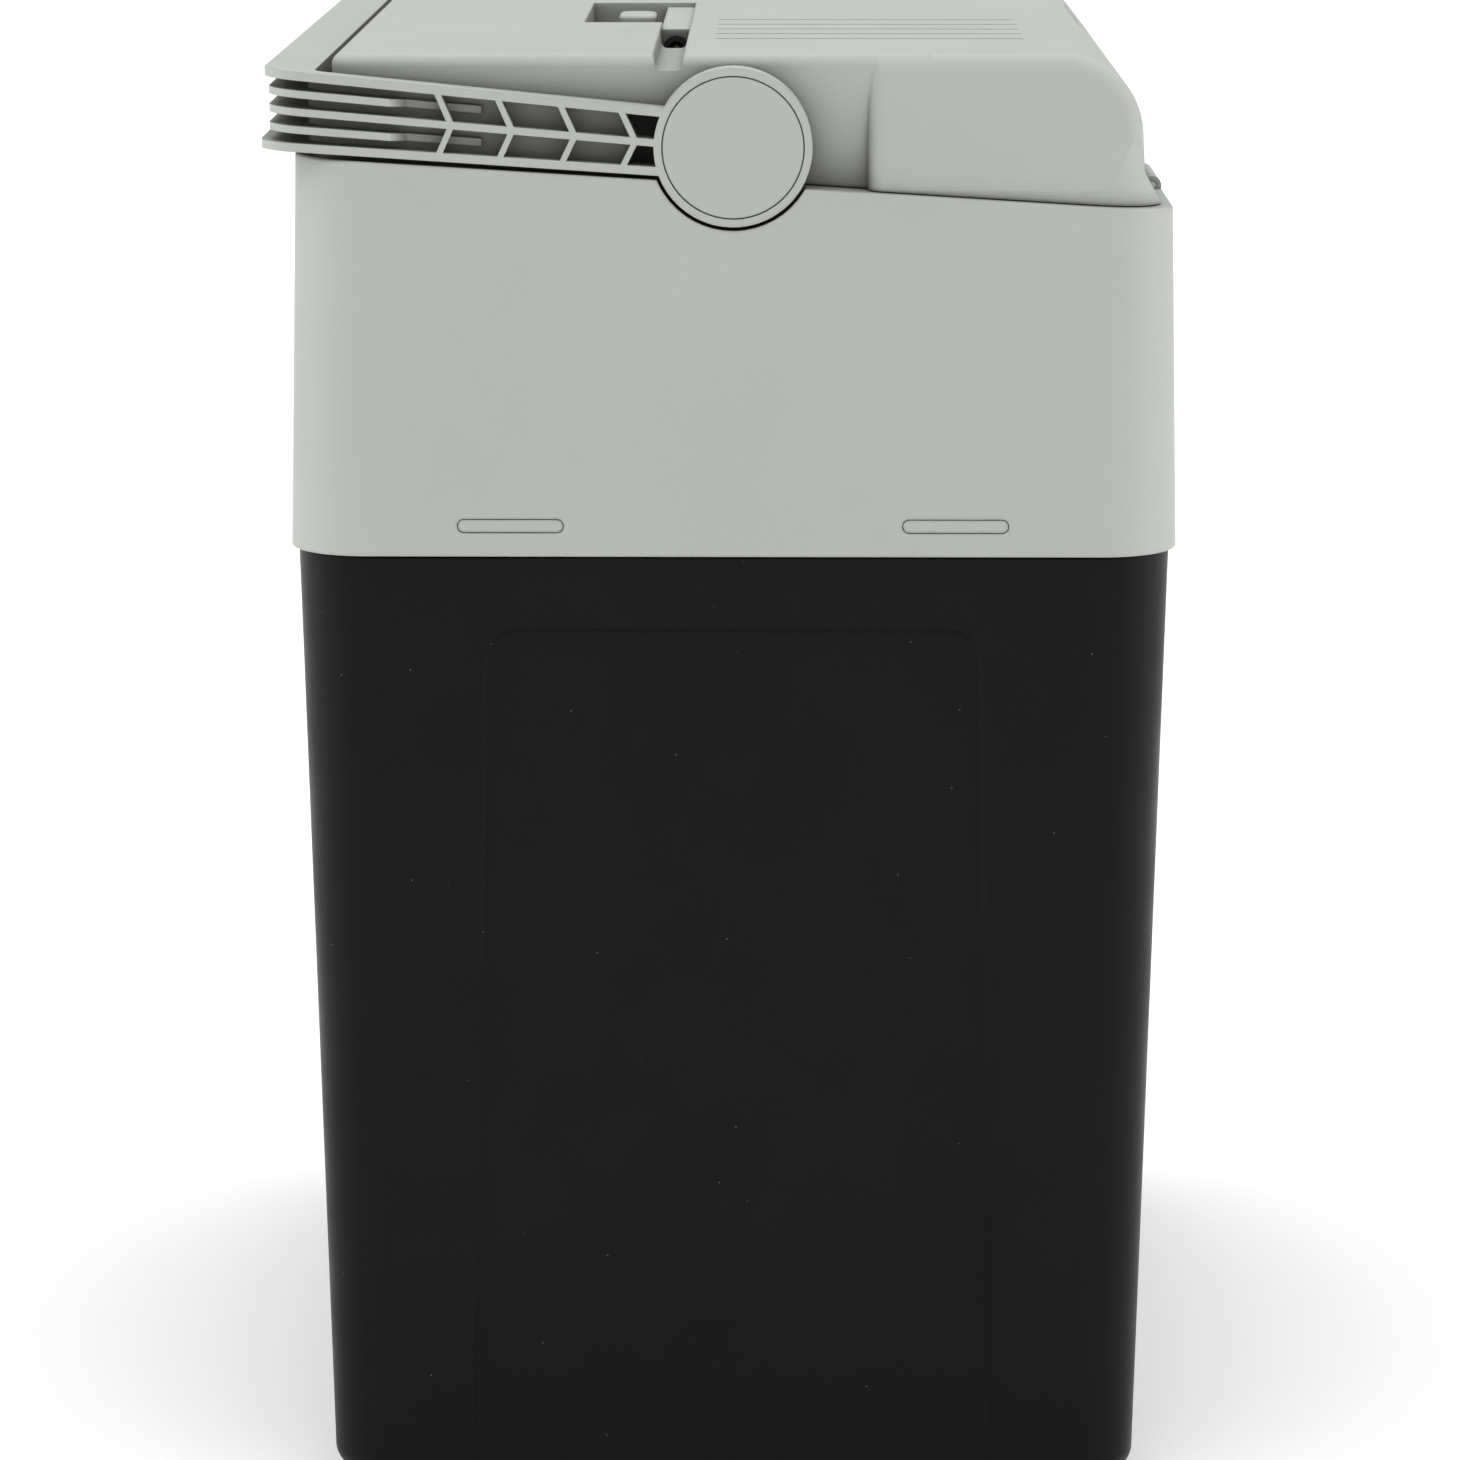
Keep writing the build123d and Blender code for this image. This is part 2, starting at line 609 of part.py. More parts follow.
for side, sx in SIDES:
    sleeve = rod_x(BUSH_R, NOTCH_FLOOR_X + 0.3, AXLE_END_X - 0.4, 0, PIVOT_Z)
    collar = rod_x(BUSH_R + 3.0, NOTCH_FLOOR_X + 0.3, HUB_INNER_X - SEAT_GAP, 0, PIVOT_Z)
    bush = sleeve + collar - rod_x(AXLE_R + RUNNING_FIT, HUB_INNER_X - 8, HUB_OUTER_X + 5, 0, PIVOT_Z)
    washer = rod_x(BUSH_R + 2.5, AXLE_END_X, AXLE_END_X + 1.0, 0, PIVOT_Z)
    washer = washer - rod_x(2.1, AXLE_END_X - 1, AXLE_END_X + 2, 0, PIVOT_Z)
    shank = rod_x(1.55, AXLE_END_X - 13.0, AXLE_END_X + 1.1, 0, PIVOT_Z)
    head = rod_x(4.2, AXLE_END_X + 1.0, AXLE_END_X + 3.0, 0, PIVOT_Z)
    cross = block(AXLE_END_X + 2.0, AXLE_END_X + 3.2, -0.5, 0.5, PIVOT_Z - 2.4, PIVOT_Z + 2.4)
    cross = cross + block(AXLE_END_X + 2.0, AXLE_END_X + 3.2, -2.4, 2.4, PIVOT_Z - 0.5, PIVOT_Z + 0.5)
    screw = shank + head - cross
    cap = rod_x(CAP_R, cap_seat_x, HUB_OUTER_X, 0, PIVOT_Z)
    cap = fillet(cap.edges().group_by(Axis.X)[-1], 0.7)
    spigot = rod_x(BUSH_R + 4.7, cap_seat_x - 1.6, cap_seat_x, 0, PIVOT_Z)
    spigot = spigot - rod_x(BUSH_R + 3.2, cap_seat_x - 2, cap_seat_x, 0, PIVOT_Z)
    cap = cap + spigot
    for shape, name in (
        (bush, "pivot_bush"),
        (washer, "pivot_washer"),
        (screw, "pivot_screw"),
        (cap, "hub_cap"),
    ):
        placed = shape if sx > 0 else flip(shape)
        save(placed, f"{name}_{side}")

# ---------------------------------------------------------------- lid shell
def lid_form(inset):
    """Closed outer form of the lid, inset from its skin."""
    top = LID_TOP - inset
    low = 425.0
    half = LID_HALF - inset
    front_y = LID_FRONT + inset
    front_end = LID_STEP_Y + 20.0
    plan = Pos(0, front_y + 200) * RectangleRounded(2 * half, 400, LID_CORNER_R - inset)
    front = extrude(Pos(0, 0, low) * plan, top - low)
    front = front & block(-half - 50, half + 50, front_y - 50, front_end, low - 5, top + 5)
    tops = front.edges().group_by(Axis.Z)[-1]
    tops = [edge for edge in tops if edge.center().Y < front_end - 1]
    front = fillet(tops, max(LID_EDGE_R - inset, 0.8))
    profile = Polygon(
        (LID_STEP_Y + inset, low),
        (LID_STEP_Y + inset, top),
        (LID_WAIST_Y - 1.5 - inset, top),
        (LID_WAIST_Y - inset, LID_WAIST_Z),
        (LID_TAIL_Y - inset, rim_z(LID_TAIL_Y)),
        (LID_TAIL_Y - inset, low),
        align=None,
    )
    profile = fillet([near(profile, LID_WAIST_Y - 1.5 - inset, top)], LID_REAR_R - inset)
    rear = Pos(-half - 34, 0, 0) * extrude(Plane.YZ * profile, 2 * half + 68, dir=(1, 0, 0))
    lean = math.tan(math.radians(LID_LEAN))
    wide = half + lean * (top - low + 1)
    outline = Polygon(
        (-wide, low - 1),
        (wide, low - 1),
        (half - lean * 2, top + 2),
        (lean * 2 - half, top + 2),
        align=None,
    )
    rear = rear & (Pos(0, -230, 0) * extrude(Plane.XZ * outline, 460, dir=(0, 1, 0)))
    shoulders = []
    for edge in rear.edges():
        centre = edge.center()
        if abs(centre.X) > half - 1 and centre.Z > low + 1 and centre.Y > LID_STEP_Y + inset + 2:
            shoulders.append(edge)
    rear = fillet(shoulders, LID_SHOULDER_R)
    steps = []
    for edge in rear.edges():
        box = edge.bounding_box()
        on_step = abs(box.min.Y - LID_STEP_Y - inset) < 0.1 and abs(box.max.Y - LID_STEP_Y - inset) < 0.1
        if on_step and box.max.Z - box.min.Z > 30:
            steps.append(edge)
    rear = fillet(steps, LID_STEP_R)
    wide_plan = Pos(0, LID_TAIL_Y - inset - 200) * RectangleRounded(
        2 * (LID_REAR_HALF - inset), 400, LID_TAIL_R - inset
    )
    rear = rear & extrude(Pos(0, 0, low - 1) * wide_plan, 80)
    return front + rear


def slot_y(x, y, width, length, z0, z1):
    """Upright slot with round ends, lying along Y."""
    outline = Pos(x, y, z0) * Rot(0, 0, 90) * SlotOverall(length, width)
    return extrude(outline, z1 - z0)


lid_skin = lid_form(0)
lid_space = lid_form(LID_WALL)
w = TUB_WALL
trough = block(-TROUGH_HALF, TROUGH_HALF, TROUGH_FRONT, TROUGH_BACK, TROUGH_FLOOR, 500)
channel_face = Polygon(
    (TROUGH_BACK + CHANNEL_SLOPE, CHANNEL_FLOOR),
    (CHANNEL_BACK - CHANNEL_SLOPE, CHANNEL_FLOOR),
    (CHANNEL_BACK + 0.2 * CHANNEL_SLOPE, LID_TOP + CHANNEL_SLOPE),
    (TROUGH_BACK - 0.2 * CHANNEL_SLOPE, LID_TOP + CHANNEL_SLOPE),
    align=None,
)
channel_feet = [near(channel_face, y, CHANNEL_FLOOR) for y in (TROUGH_BACK, CHANNEL_BACK)]
channel_face = fillet(channel_feet, 2.0)
channel_end = RIM_WIDTH / 2
channel_low = extrude(Plane.YZ * channel_face, channel_end - POCKET_FAR, dir=(1, 0, 0))
channel_low = Pos(POCKET_FAR, 0, 0) * channel_low
channel_high = block(-TROUGH_HALF, POCKET_FAR, TROUGH_BACK - 0.01, CHANNEL_BACK, CHANNEL_HIGH, 500)
channel = channel_low + channel_high
pocket_r = (CHANNEL_BACK - TROUGH_BACK) / 2
inlet_y = (TROUGH_BACK + CHANNEL_BACK) / 2
pocket = block(POCKET_FAR, POCKET_NEAR - pocket_r, TROUGH_BACK, CHANNEL_BACK, POCKET_FLOOR, 500)
pocket = pocket + rod_z(pocket_r, POCKET_NEAR - pocket_r, inlet_y, POCKET_FLOOR, 500)
ear_gap = rod_x(EAR_R + 2.5, EAR_INNER_X - 0.9, RIM_WIDTH / 2 + 5, 0, PIVOT_Z)
ear_gap_side = EAR_R + 2.5
ear_gap = ear_gap + block(
    EAR_INNER_X - 0.9, RIM_WIDTH / 2 + 5, -ear_gap_side, ear_gap_side, 420, PIVOT_Z
)
ear_gap = ear_gap + block(EAR_INNER_X - 0.9, RIM_WIDTH / 2 + 5, RECESS_FRONT, 0, 420, RECESS_TOP)
trough_tub = block(
    -TROUGH_HALF - w,
    TROUGH_HALF + w,
    TROUGH_FRONT - w,
    TROUGH_BACK + w,
    TROUGH_FLOOR - w,
    LID_TOP - 1,
)
channel_tub = block(
    POCKET_FAR - w, LID_HALF + 4, TROUGH_BACK - w, CHANNEL_BACK + w, CHANNEL_FLOOR - w, LID_TOP - 1
)
channel_tub = channel_tub + block(
    -TROUGH_HALF - w, POCKET_FAR, TROUGH_BACK - w, CHANNEL_BACK + w, CHANNEL_HIGH - w, LID_TOP - 1
)
pocket_tub = block(
    POCKET_FAR - w,
    POCKET_NEAR + w,
    TROUGH_BACK - w,
    CHANNEL_BACK + w,
    POCKET_FLOOR - w,
    LID_TOP - 1,
)
ear_tub = rod_x(EAR_R + 2.5 + w, EAR_INNER_X - 0.9 - w, LID_HALF + 4, 0, PIVOT_Z)
ear_side = EAR_R + 2.5 + w
ear_tub = ear_tub + block(
    EAR_INNER_X - 0.9 - w, LID_HALF + 4, -ear_side, ear_side, 420, PIVOT_Z
)
ear_tub = ear_tub + block(
    EAR_INNER_X - 0.9 - w, LID_HALF + 4, RECESS_FRONT - w, 0, 420, RECESS_TOP + w
)
lid_shell = lid_skin - lid_space
tubs = trough_tub + channel_tub + pocket_tub + both(ear_tub)

# screw posts that the inner panel is fixed to
for px, py in LID_SCREWS:
    tubs = tubs + both(rod_z(4.0, px, py, 430, LID_TOP - 1))
lid_shell = lid_shell + (tubs & lid_skin & rim_slab(FLANGE_LOW + FLANGE_THICK + 0.1, 200))
lid_shell = lid_shell + (both(ear_tub) & lid_skin & rim_slab(RIM_GAP, 200))
lid_shell = lid_shell - trough - channel - pocket - both(ear_gap)
for px, py in LID_SCREWS:
    lid_shell = lid_shell - both(rod_z(1.3, px, py, 430, 475))
for k in range(INTAKE_SLOTS):
    slot_x = INTAKE_X + (k - (INTAKE_SLOTS - 1) / 2) * INTAKE_PITCH
    lid_shell = lid_shell - slot_y(slot_x, INTAKE_Y, INTAKE_WIDTH, INTAKE_LENGTH, 484, 495)
lid_shell = lid_shell - block(
    EXHAUST_X0 - 0.3,
    EXHAUST_X1 + 0.3,
    RIM_DEPTH / 2 - 48,
    RIM_DEPTH / 2 + 2,
    EXHAUST_Z0 - 0.3,
    EXHAUST_Z1 + 0.3,
)
lid_shell = lid_shell & rim_slab(RIM_GAP, 200)

# slot for the mode slider stem and bore for the power inlet
stem_slot_half = SLIDER_TRAVEL + 2.5 + 0.8
lid_shell = lid_shell - block(
    -stem_slot_half, stem_slot_half, SLIDER_Y - 2.1, SLIDER_Y + 2.1, TROUGH_FLOOR - 6, TROUGH_FLOOR + 2
)
lid_shell = lid_shell - rod_x(4.6 + SEAT_GAP, POCKET_FAR - w - 1, POCKET_FAR + 1, inlet_y, INLET_Z)

# knuckles of the lid hinge and room for the frame's lugs
for lug_x in lug_starts:
    lug_room = rod_x(KNUCKLE_R + 0.7, lug_x - 0.4, lug_x + LUG_LENGTH + 0.4, HINGE_Y, HINGE_Z)
    lid_shell = lid_shell - both(lug_room)
knuckle = rod_x(
    KNUCKLE_R, HINGE_X - KNUCKLE_HALF, HINGE_X + KNUCKLE_HALF, HINGE_Y, HINGE_Z
)
knuckle_bore = rod_x(HINGE_PIN_R + RUNNING_FIT, HINGE_X - 20, HINGE_X + 20, HINGE_Y, HINGE_Z)
lid_shell = lid_shell + both(knuckle) - both(knuckle_bore)
save(lid_shell, "lid_shell")

# ---------------------------------------------------------------- exhaust grille
exhaust = lid_form(0) - lid_form(LID_WALL)
vent_y = (RIM_DEPTH / 2 - 48, RIM_DEPTH / 2 + 12)
exhaust = exhaust & block(EXHAUST_X0, EXHAUST_X1, *vent_y, EXHAUST_Z0, EXHAUST_Z1)
slat_pitch = 6.8
slat_count = int((EXHAUST_X1 - EXHAUST_X0 - 6) / slat_pitch)
slat_start = (EXHAUST_X0 + EXHAUST_X1) / 2 - (slat_count - 1) * slat_pitch / 2
for k in range(slat_count):
    cut_x = slat_start + k * slat_pitch
    exhaust = exhaust - block(
        cut_x - 2.1, cut_x + 2.1, *vent_y, EXHAUST_Z0 + 2.5, EXHAUST_Z1 - 2.5
    )
save(exhaust, "exhaust_grille")

# ---------------------------------------------------------------- lid inner panel
flange_front = LID_FRONT + 5.2
flange_back = RIM_DEPTH / 2 - 17.0
flange_middle = Pos(0, (flange_front + flange_back) / 2, 430)
panel_flange_plan = flange_middle * RectangleRounded(
    RIM_WIDTH - 39.0, flange_back - flange_front, 8.0
)
panel_flange = extrude(panel_flange_plan, 50) & rim_slab(FLANGE_LOW, FLANGE_LOW + FLANGE_THICK)
plug_outer = prism(PLUG_WIDTH, PLUG_DEPTH, PLUG_CORNER, PLUG_BOTTOM, 470)
plug_outer = plug_outer & rim_slab(-100, FLANGE_LOW + FLANGE_THICK)
plug_space = prism(
    PLUG_WIDTH - 2 * PLUG_WALL,
    PLUG_DEPTH - 2 * PLUG_WALL,
    PLUG_CORNER - PLUG_WALL,
    PLUG_BOTTOM + PLUG_WALL,
    480,
)
inner_panel = panel_flange + plug_outer - (plug_space & rim_slab(-100, FLANGE_LOW))
sink_room_x = HOT_SINK_X / 2 + 1.0
sink_room_y = HOT_SINK_Y / 2 + 1.0
sink_room = block(
    UNIT_X - sink_room_x,
    UNIT_X + sink_room_x,
    UNIT_Y - sink_room_y,
    UNIT_Y + sink_room_y,
    HOT_BASE_Z - 0.3,
    500,
)
core_half = PELTIER / 2 + 1.0
core_hole = block(
    UNIT_X - core_half, UNIT_X + core_half, UNIT_Y - core_half, UNIT_Y + core_half, 410, 470
)
CLAMP_X = 30.0
clamp_holes = rod_z(2.2, UNIT_X + CLAMP_X, UNIT_Y, 405, 470)
clamp_holes = clamp_holes + rod_z(2.2, UNIT_X - CLAMP_X, UNIT_Y, 405, 470)
inner_panel = inner_panel - Pos(0, 0, -8) * sink_room
inner_panel = inner_panel - core_hole - clamp_holes
for px, py in LID_SCREWS:
    inner_panel = inner_panel - both(rod_z(1.8, px, py, 430, 480))
ear_plate_cut = block(
    EAR_INNER_X - 4, RIM_WIDTH / 2 + 5, RECESS_FRONT - w - 1, ear_side + 1, 420, 480
)
inner_panel = inner_panel - both(ear_plate_cut)
save(inner_panel, "lid_inner_panel")

lid_foam = prism(
    PLUG_WIDTH - 2 * PLUG_WALL - 0.4,
    PLUG_DEPTH - 2 * PLUG_WALL - 0.4,
    PLUG_CORNER - PLUG_WALL,
    PLUG_BOTTOM + PLUG_WALL + 0.1,
    470,
)
lid_foam = lid_foam & rim_slab(-100, FLANGE_LOW - 0.2)
lid_foam = lid_foam - sink_room - core_hole - clamp_holes
save(lid_foam, "lid_foam")

gasket = prism(RIM_WIDTH - 56, RIM_DEPTH - 55, 34, 430, 470)
gasket = gasket - prism(RIM_WIDTH - 67, RIM_DEPTH - 66, 29, 430, 470)
gasket = gasket & rim_slab(0.2, FLANGE_LOW - 0.05)
save(gasket, "lid_gasket")

lid_screws = []
for px, py in LID_SCREWS:
    for sx in (1, -1):
        seat_z = rim_z(py) + FLANGE_LOW - 0.35
        shank = rod_z(1.25, sx * px, py, seat_z - 0.5, seat_z + 13)
        head = rod_z(3.0, sx * px, py, seat_z - 1.9, seat_z - 0.1)
        lid_screws.append(shank + head)
save(Compound(children=lid_screws), "lid_screws")

# ---------------------------------------------------------------- cooling unit
POST_HOT = 41.25
POST_COLD = 35.75


def corners(offset):
    """Four places around the cooling unit's centre."""
    return [(UNIT_X + sx * offset, UNIT_Y + sy * offset) for sx in (1, -1) for sy in (1, -1)]


def finned(size_x, size_y, base_low, base_high, fin_low, fin_high, count, thick, post):
    """Extruded heat sink with fins along X and four screw posts."""
    sink = block(
        UNIT_X - size_x / 2,
        UNIT_X + size_x / 2,
        UNIT_Y - size_y / 2,
        UNIT_Y + size_y / 2,
        base_low,
        base_high,
    )
    pitch = (size_y - thick) / (count - 1)
    for k in range(count):
        y0 = UNIT_Y - size_y / 2 + k * pitch
        sink = sink + block(
            UNIT_X - size_x / 2, UNIT_X + size_x / 2, y0, y0 + thick, fin_low, fin_high
        )
    for cx, cy in corners(post):
        sink = sink + rod_z(4.0, cx, cy, min(base_low, fin_low), max(base_high, fin_high))
    return sink


hot_base_top = HOT_BASE_Z + HOT_BASE_THICK
hot_fin_top = HOT_FAN_Z - 0.1
hot_sink = finned(
    HOT_SINK_X, HOT_SINK_Y, HOT_BASE_Z, hot_base_top, hot_base_top - 0.5, hot_fin_top, 21, 1.3, POST_HOT
)
for cx, cy in corners(POST_HOT):
    hot_sink = hot_sink - rod_z(1.6, cx, cy, hot_base_top, hot_fin_top + 1)
for sx in (1, -1):
    hot_sink = hot_sink + rod_z(4.0, UNIT_X + sx * CLAMP_X, UNIT_Y, HOT_BASE_Z, hot_base_top + 6)
    hot_sink = hot_sink - rod_z(1.85, UNIT_X + sx * CLAMP_X, UNIT_Y, HOT_BASE_Z - 1, hot_base_top + 3)
save(hot_sink, "hot_heat_sink")

peltier_low = HOT_BASE_Z - PELTIER_THICK
half_p = PELTIER / 2
peltier = block(
    UNIT_X - half_p, UNIT_X + half_p, UNIT_Y - half_p, UNIT_Y + half_p, peltier_low, HOT_BASE_Z
)
save(peltier, "peltier_module")
cold_base_top = PLUG_BOTTOM - 0.2
spacer = block(
    UNIT_X - half_p, UNIT_X + half_p, UNIT_Y - half_p, UNIT_Y + half_p, cold_base_top, peltier_low
)
save(spacer, "spacer_block")

cold_base_low = cold_base_top - COLD_BASE_THICK
cold_fin_low = cold_base_low - COLD_FIN
cold_sink = finned(
    COLD_SINK,
    COLD_SINK,
    cold_base_low,
    cold_base_top,
    cold_fin_low,
    cold_base_low + 0.5,
    17,
    1.2,
    POST_COLD,
)
for cx, cy in corners(POST_COLD):
    cold_sink = cold_sink - rod_z(1.6, cx, cy, cold_fin_low - 1, cold_base_low)
clamp_screws = []
for sx in (1, -1):
    cx = UNIT_X + sx * CLAMP_X
    cold_sink = cold_sink - rod_z(4.6, cx, UNIT_Y, cold_fin_low - 1, cold_base_low)
    cold_sink = cold_sink - rod_z(2.0, cx, UNIT_Y, cold_fin_low - 1, cold_base_top + 1)
    shank = rod_z(1.8, cx, UNIT_Y, cold_base_low - 0.5, hot_base_top + 2)
    head = rod_z(3.5, cx, UNIT_Y, cold_base_low - 2.6, cold_base_low - 0.1)
    clamp_screws.append(shank + head)
save(cold_sink, "cold_heat_sink")
save(Compound(children=clamp_screws), "sink_clamp_screws")


def fan_frame(size, low, thick, motor_r, post, motor_end):
    """Square fan frame with round duct, four arms and a motor cup."""
    high = low + thick
    frame = Pos(UNIT_X, UNIT_Y, 0) * prism(size, size, 4.0, low, high)
    frame = frame - rod_z(size / 2 - 2.0, UNIT_X, UNIT_Y, low - 1, high + 1)
    arm_low = low if motor_end < 0 else high - 2.0
    for k in range(4):
        arm = Pos(UNIT_X, UNIT_Y, 0) * Rot(0, 0, 22 + 90 * k) * block(
            4, size / 2, -1.5, 1.5, arm_low, arm_low + 2.0
        )
        frame = frame + arm
    frame = frame + rod_z(motor_r, UNIT_X, UNIT_Y, arm_low, arm_low + 2.0)
    shaft_low = low + 0.5 if motor_end < 0 else low + 1.5
    shaft_high = high - 1.5 if motor_end < 0 else high - 0.5
    frame = frame + rod_z(1.5, UNIT_X, UNIT_Y, shaft_low, shaft_high)
    for cx, cy in corners(post):
        frame = frame - rod_z(2.1, cx, cy, low - 1, high + 1)
    return frame


def impeller(size, low, high, hub_r, blades, pitch_angle):
    """Axial impeller with a round hub and pitched blades."""
    tip_r = size / 2 - 3.6
    middle = (low + high) / 2
    wheel = rod_z(hub_r, UNIT_X, UNIT_Y, low, high)
    for k in range(blades):
        blade = Pos((hub_r + size / 2) / 2, 0, 0) * Rot(pitch_angle, 0, 0) * Box(size / 2, 26, 1.5)
        blade = Pos(UNIT_X, UNIT_Y, middle) * Rot(0, 0, 360 / blades * k) * blade
        sweep = rod_z(tip_r, UNIT_X, UNIT_Y, low + 0.4, high - 0.4)
        sweep = sweep - rod_z(hub_r - 1.0, UNIT_X, UNIT_Y, low, high)
        wheel = wheel + (blade & sweep)
    return wheel - rod_z(1.5 + RUNNING_FIT, UNIT_X, UNIT_Y, low - 1, high + 1)


hot_fan_top = HOT_FAN_Z + HOT_FAN_THICK
save(fan_frame(HOT_FAN, HOT_FAN_Z, HOT_FAN_THICK, 17.0, POST_HOT, -1), "hot_fan_frame")
hot_wheel = impeller(HOT_FAN, HOT_FAN_Z + 2.6, hot_fan_top - 1.0, 18.0, 7, 32)
save(hot_wheel, "hot_fan_impeller")
cold_fan_top = cold_fin_low - 0.1
cold_fan_low = cold_fan_top - COLD_FAN_THICK
save(fan_frame(COLD_FAN, cold_fan_low, COLD_FAN_THICK, 14.0, POST_COLD, 1), "cold_fan_frame")
cold_wheel = impeller(COLD_FAN, cold_fan_low + 0.8, cold_fan_top - 2.6, 15.0, 7, 26)
save(cold_wheel, "cold_fan_impeller")

hot_screws = []
for cx, cy in corners(POST_HOT):
    shank = rod_z(1.5, cx, cy, HOT_FAN_Z - 9, hot_fan_top - 0.4)
    head = rod_z(3.2, cx, cy, hot_fan_top + 0.1, hot_fan_top + 1.0)
    neck = rod_z(1.5, cx, cy, hot_fan_top - 0.5, hot_fan_top + 0.2)
    hot_screws.append(shank + neck + head)
save(Compound(children=hot_screws), "hot_fan_screws")
cold_screws = []
for cx, cy in corners(POST_COLD):
    shank = rod_z(1.5, cx, cy, cold_fan_low - 0.2, cold_fan_top + 8)
    head = rod_z(3.0, cx, cy, cold_fan_low - 1.5, cold_fan_low - 0.1)
    cold_screws.append(shank + head)
save(Compound(children=cold_screws), "cold_fan_screws")

# inner grille cover over the cold fan
cover_half = COVER / 2
cover = Pos(UNIT_X, UNIT_Y, 0) * prism(COVER, COVER, 12.0, COVER_BOTTOM, PLUG_BOTTOM - 0.1)
cover = fillet(cover.edges().group_by(Axis.Z)[0], 3.0)
cover_space = Pos(UNIT_X, UNIT_Y, 0) * prism(
    COVER - 2 * COVER_WALL, COVER - 2 * COVER_WALL, 10.0, COVER_BOTTOM + COVER_WALL, 430
)
cover = cover - cover_space
for k in range(11):
    offset = (k - 5) * 7.0
    reach = math.sqrt(39.0 ** 2 - offset ** 2)
    cover = cover - slot_y(
        UNIT_X + offset, UNIT_Y, 3.6, 2 * reach, COVER_BOTTOM - 1, COVER_BOTTOM + COVER_WALL + 1
    )
for side_turn in range(4):
    for k in range(7):
        vent = block(-1.8 + (k - 3) * 12.0, 1.8 + (k - 3) * 12.0, 50, 60, 408, 419)
        cover = cover - Pos(UNIT_X, UNIT_Y, 0) * Rot(0, 0, 90 * side_turn) * vent
save(cover, "cold_air_cover")

# ---------------------------------------------------------------- mode slider
slider_low = TROUGH_FLOOR + 0.4
slider_plan = Pos(0, SLIDER_Y, slider_low) * RectangleRounded(SLIDER_LENGTH, SLIDER_WIDTH, 6.0)
slider = extrude(slider_plan, LID_TOP - 0.4 - slider_low)
slider = fillet(slider.edges().group_by(Axis.Z)[-1], 1.2)
for k in range(5):
    groove_x = (k - 2) * 3.2
    groove = block(groove_x - 0.6, groove_x + 0.6, -20, 20, slider_low + 2, LID_TOP - 2.5)
    front_groove = Pos(0, SLIDER_Y - SLIDER_WIDTH / 2 - 20 + 0.8, 0) * groove
    back_groove = Pos(0, SLIDER_Y + SLIDER_WIDTH / 2 + 20 - 0.8, 0) * groove
    slider = slider - front_groove - back_groove
stem_low = TROUGH_FLOOR - 9.5
slider = slider + block(-2.5, 2.5, SLIDER_Y - 1.5, SLIDER_Y + 1.5, stem_low, slider_low + 1)
save(slider, "mode_slider")
switch_top = TROUGH_FLOOR - TUB_WALL - SEAT_GAP
switch_body = block(-19, 19, SLIDER_Y - 6.5, SLIDER_Y + 6.5, switch_top - 11, switch_top)
switch_body = switch_body - block(
    -stem_slot_half, stem_slot_half, SLIDER_Y - 1.9, SLIDER_Y + 1.9, switch_top - 9, switch_top + 1
)
save(switch_body, "mode_switch")

# ---------------------------------------------------------------- power inlet
inlet = rod_x(4.6, 53.2, POCKET_FAR + 0.2, inlet_y, INLET_Z)
inlet = inlet + block(
    POCKET_FAR - w - 3.1,
    POCKET_FAR - w - 0.1,
    inlet_y - 3.0,
    inlet_y + 6.0,
    INLET_Z - 7,
    INLET_Z + 4.5,
)
inlet = inlet - rod_x(2.9, 55.5, POCKET_FAR + 1, inlet_y, INLET_Z)
inlet = inlet - rod_x(0.9, 52.5, 56.0, inlet_y, INLET_Z)
save(inlet, "power_inlet")
save(rod_x(0.85, 52.8, 55.5, inlet_y, INLET_Z), "inlet_contact_pin")

# ---------------------------------------------------------------- power electronics
board_low = 459.0
board = block(-160, -70, -40, 40, board_low, board_low + 1.6)
save(board, "power_board")
board_top = board_low + 1.7
transformer = block(-150, -118, -28, 4, board_top, board_top + 19)
transformer = transformer + block(-154, -114, -20, -4, board_top + 4, board_top + 15)
save(transformer, "board_transformer")
cans = []
for cx, cy, cr, ch in ((-100, -24, 6, 18), (-84, -24, 6, 18), (-100, -6, 5, 14)):
    cans.append(fillet(rod_z(cr, cx, cy, board_top, board_top + ch).edges().group_by(Axis.Z)[-1], 0.8))
save(Compound(children=cans), "board_capacitors")
cooler = block(-104, -76, 22, 26, board_top, board_top + 18)
for k in range(4):
    cooler = cooler + block(-103 + 7.5 * k, -101 + 7.5 * k, 26, 34, board_top, board_top + 18)
save(cooler, "board_heat_sink")
post_shapes = []
for cx in (-155.0, -75.0):
    for cy in (-35.0, 35.0):
        low = rim_z(cy) + FLANGE_LOW + FLANGE_THICK + 0.4
        post_shapes.append(rod_z(3.0, cx, cy, low, board_low - 0.05))
save(Compound(children=post_shapes), "board_posts")
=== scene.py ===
"""Studio scene of a portable thermoelectric cool box.

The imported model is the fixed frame: every part keeps its place and shape. This script
gives each part its finish and sets up the floor, the lights and the camera.
"""

from __future__ import annotations

import logging
import math
from dataclasses import dataclass

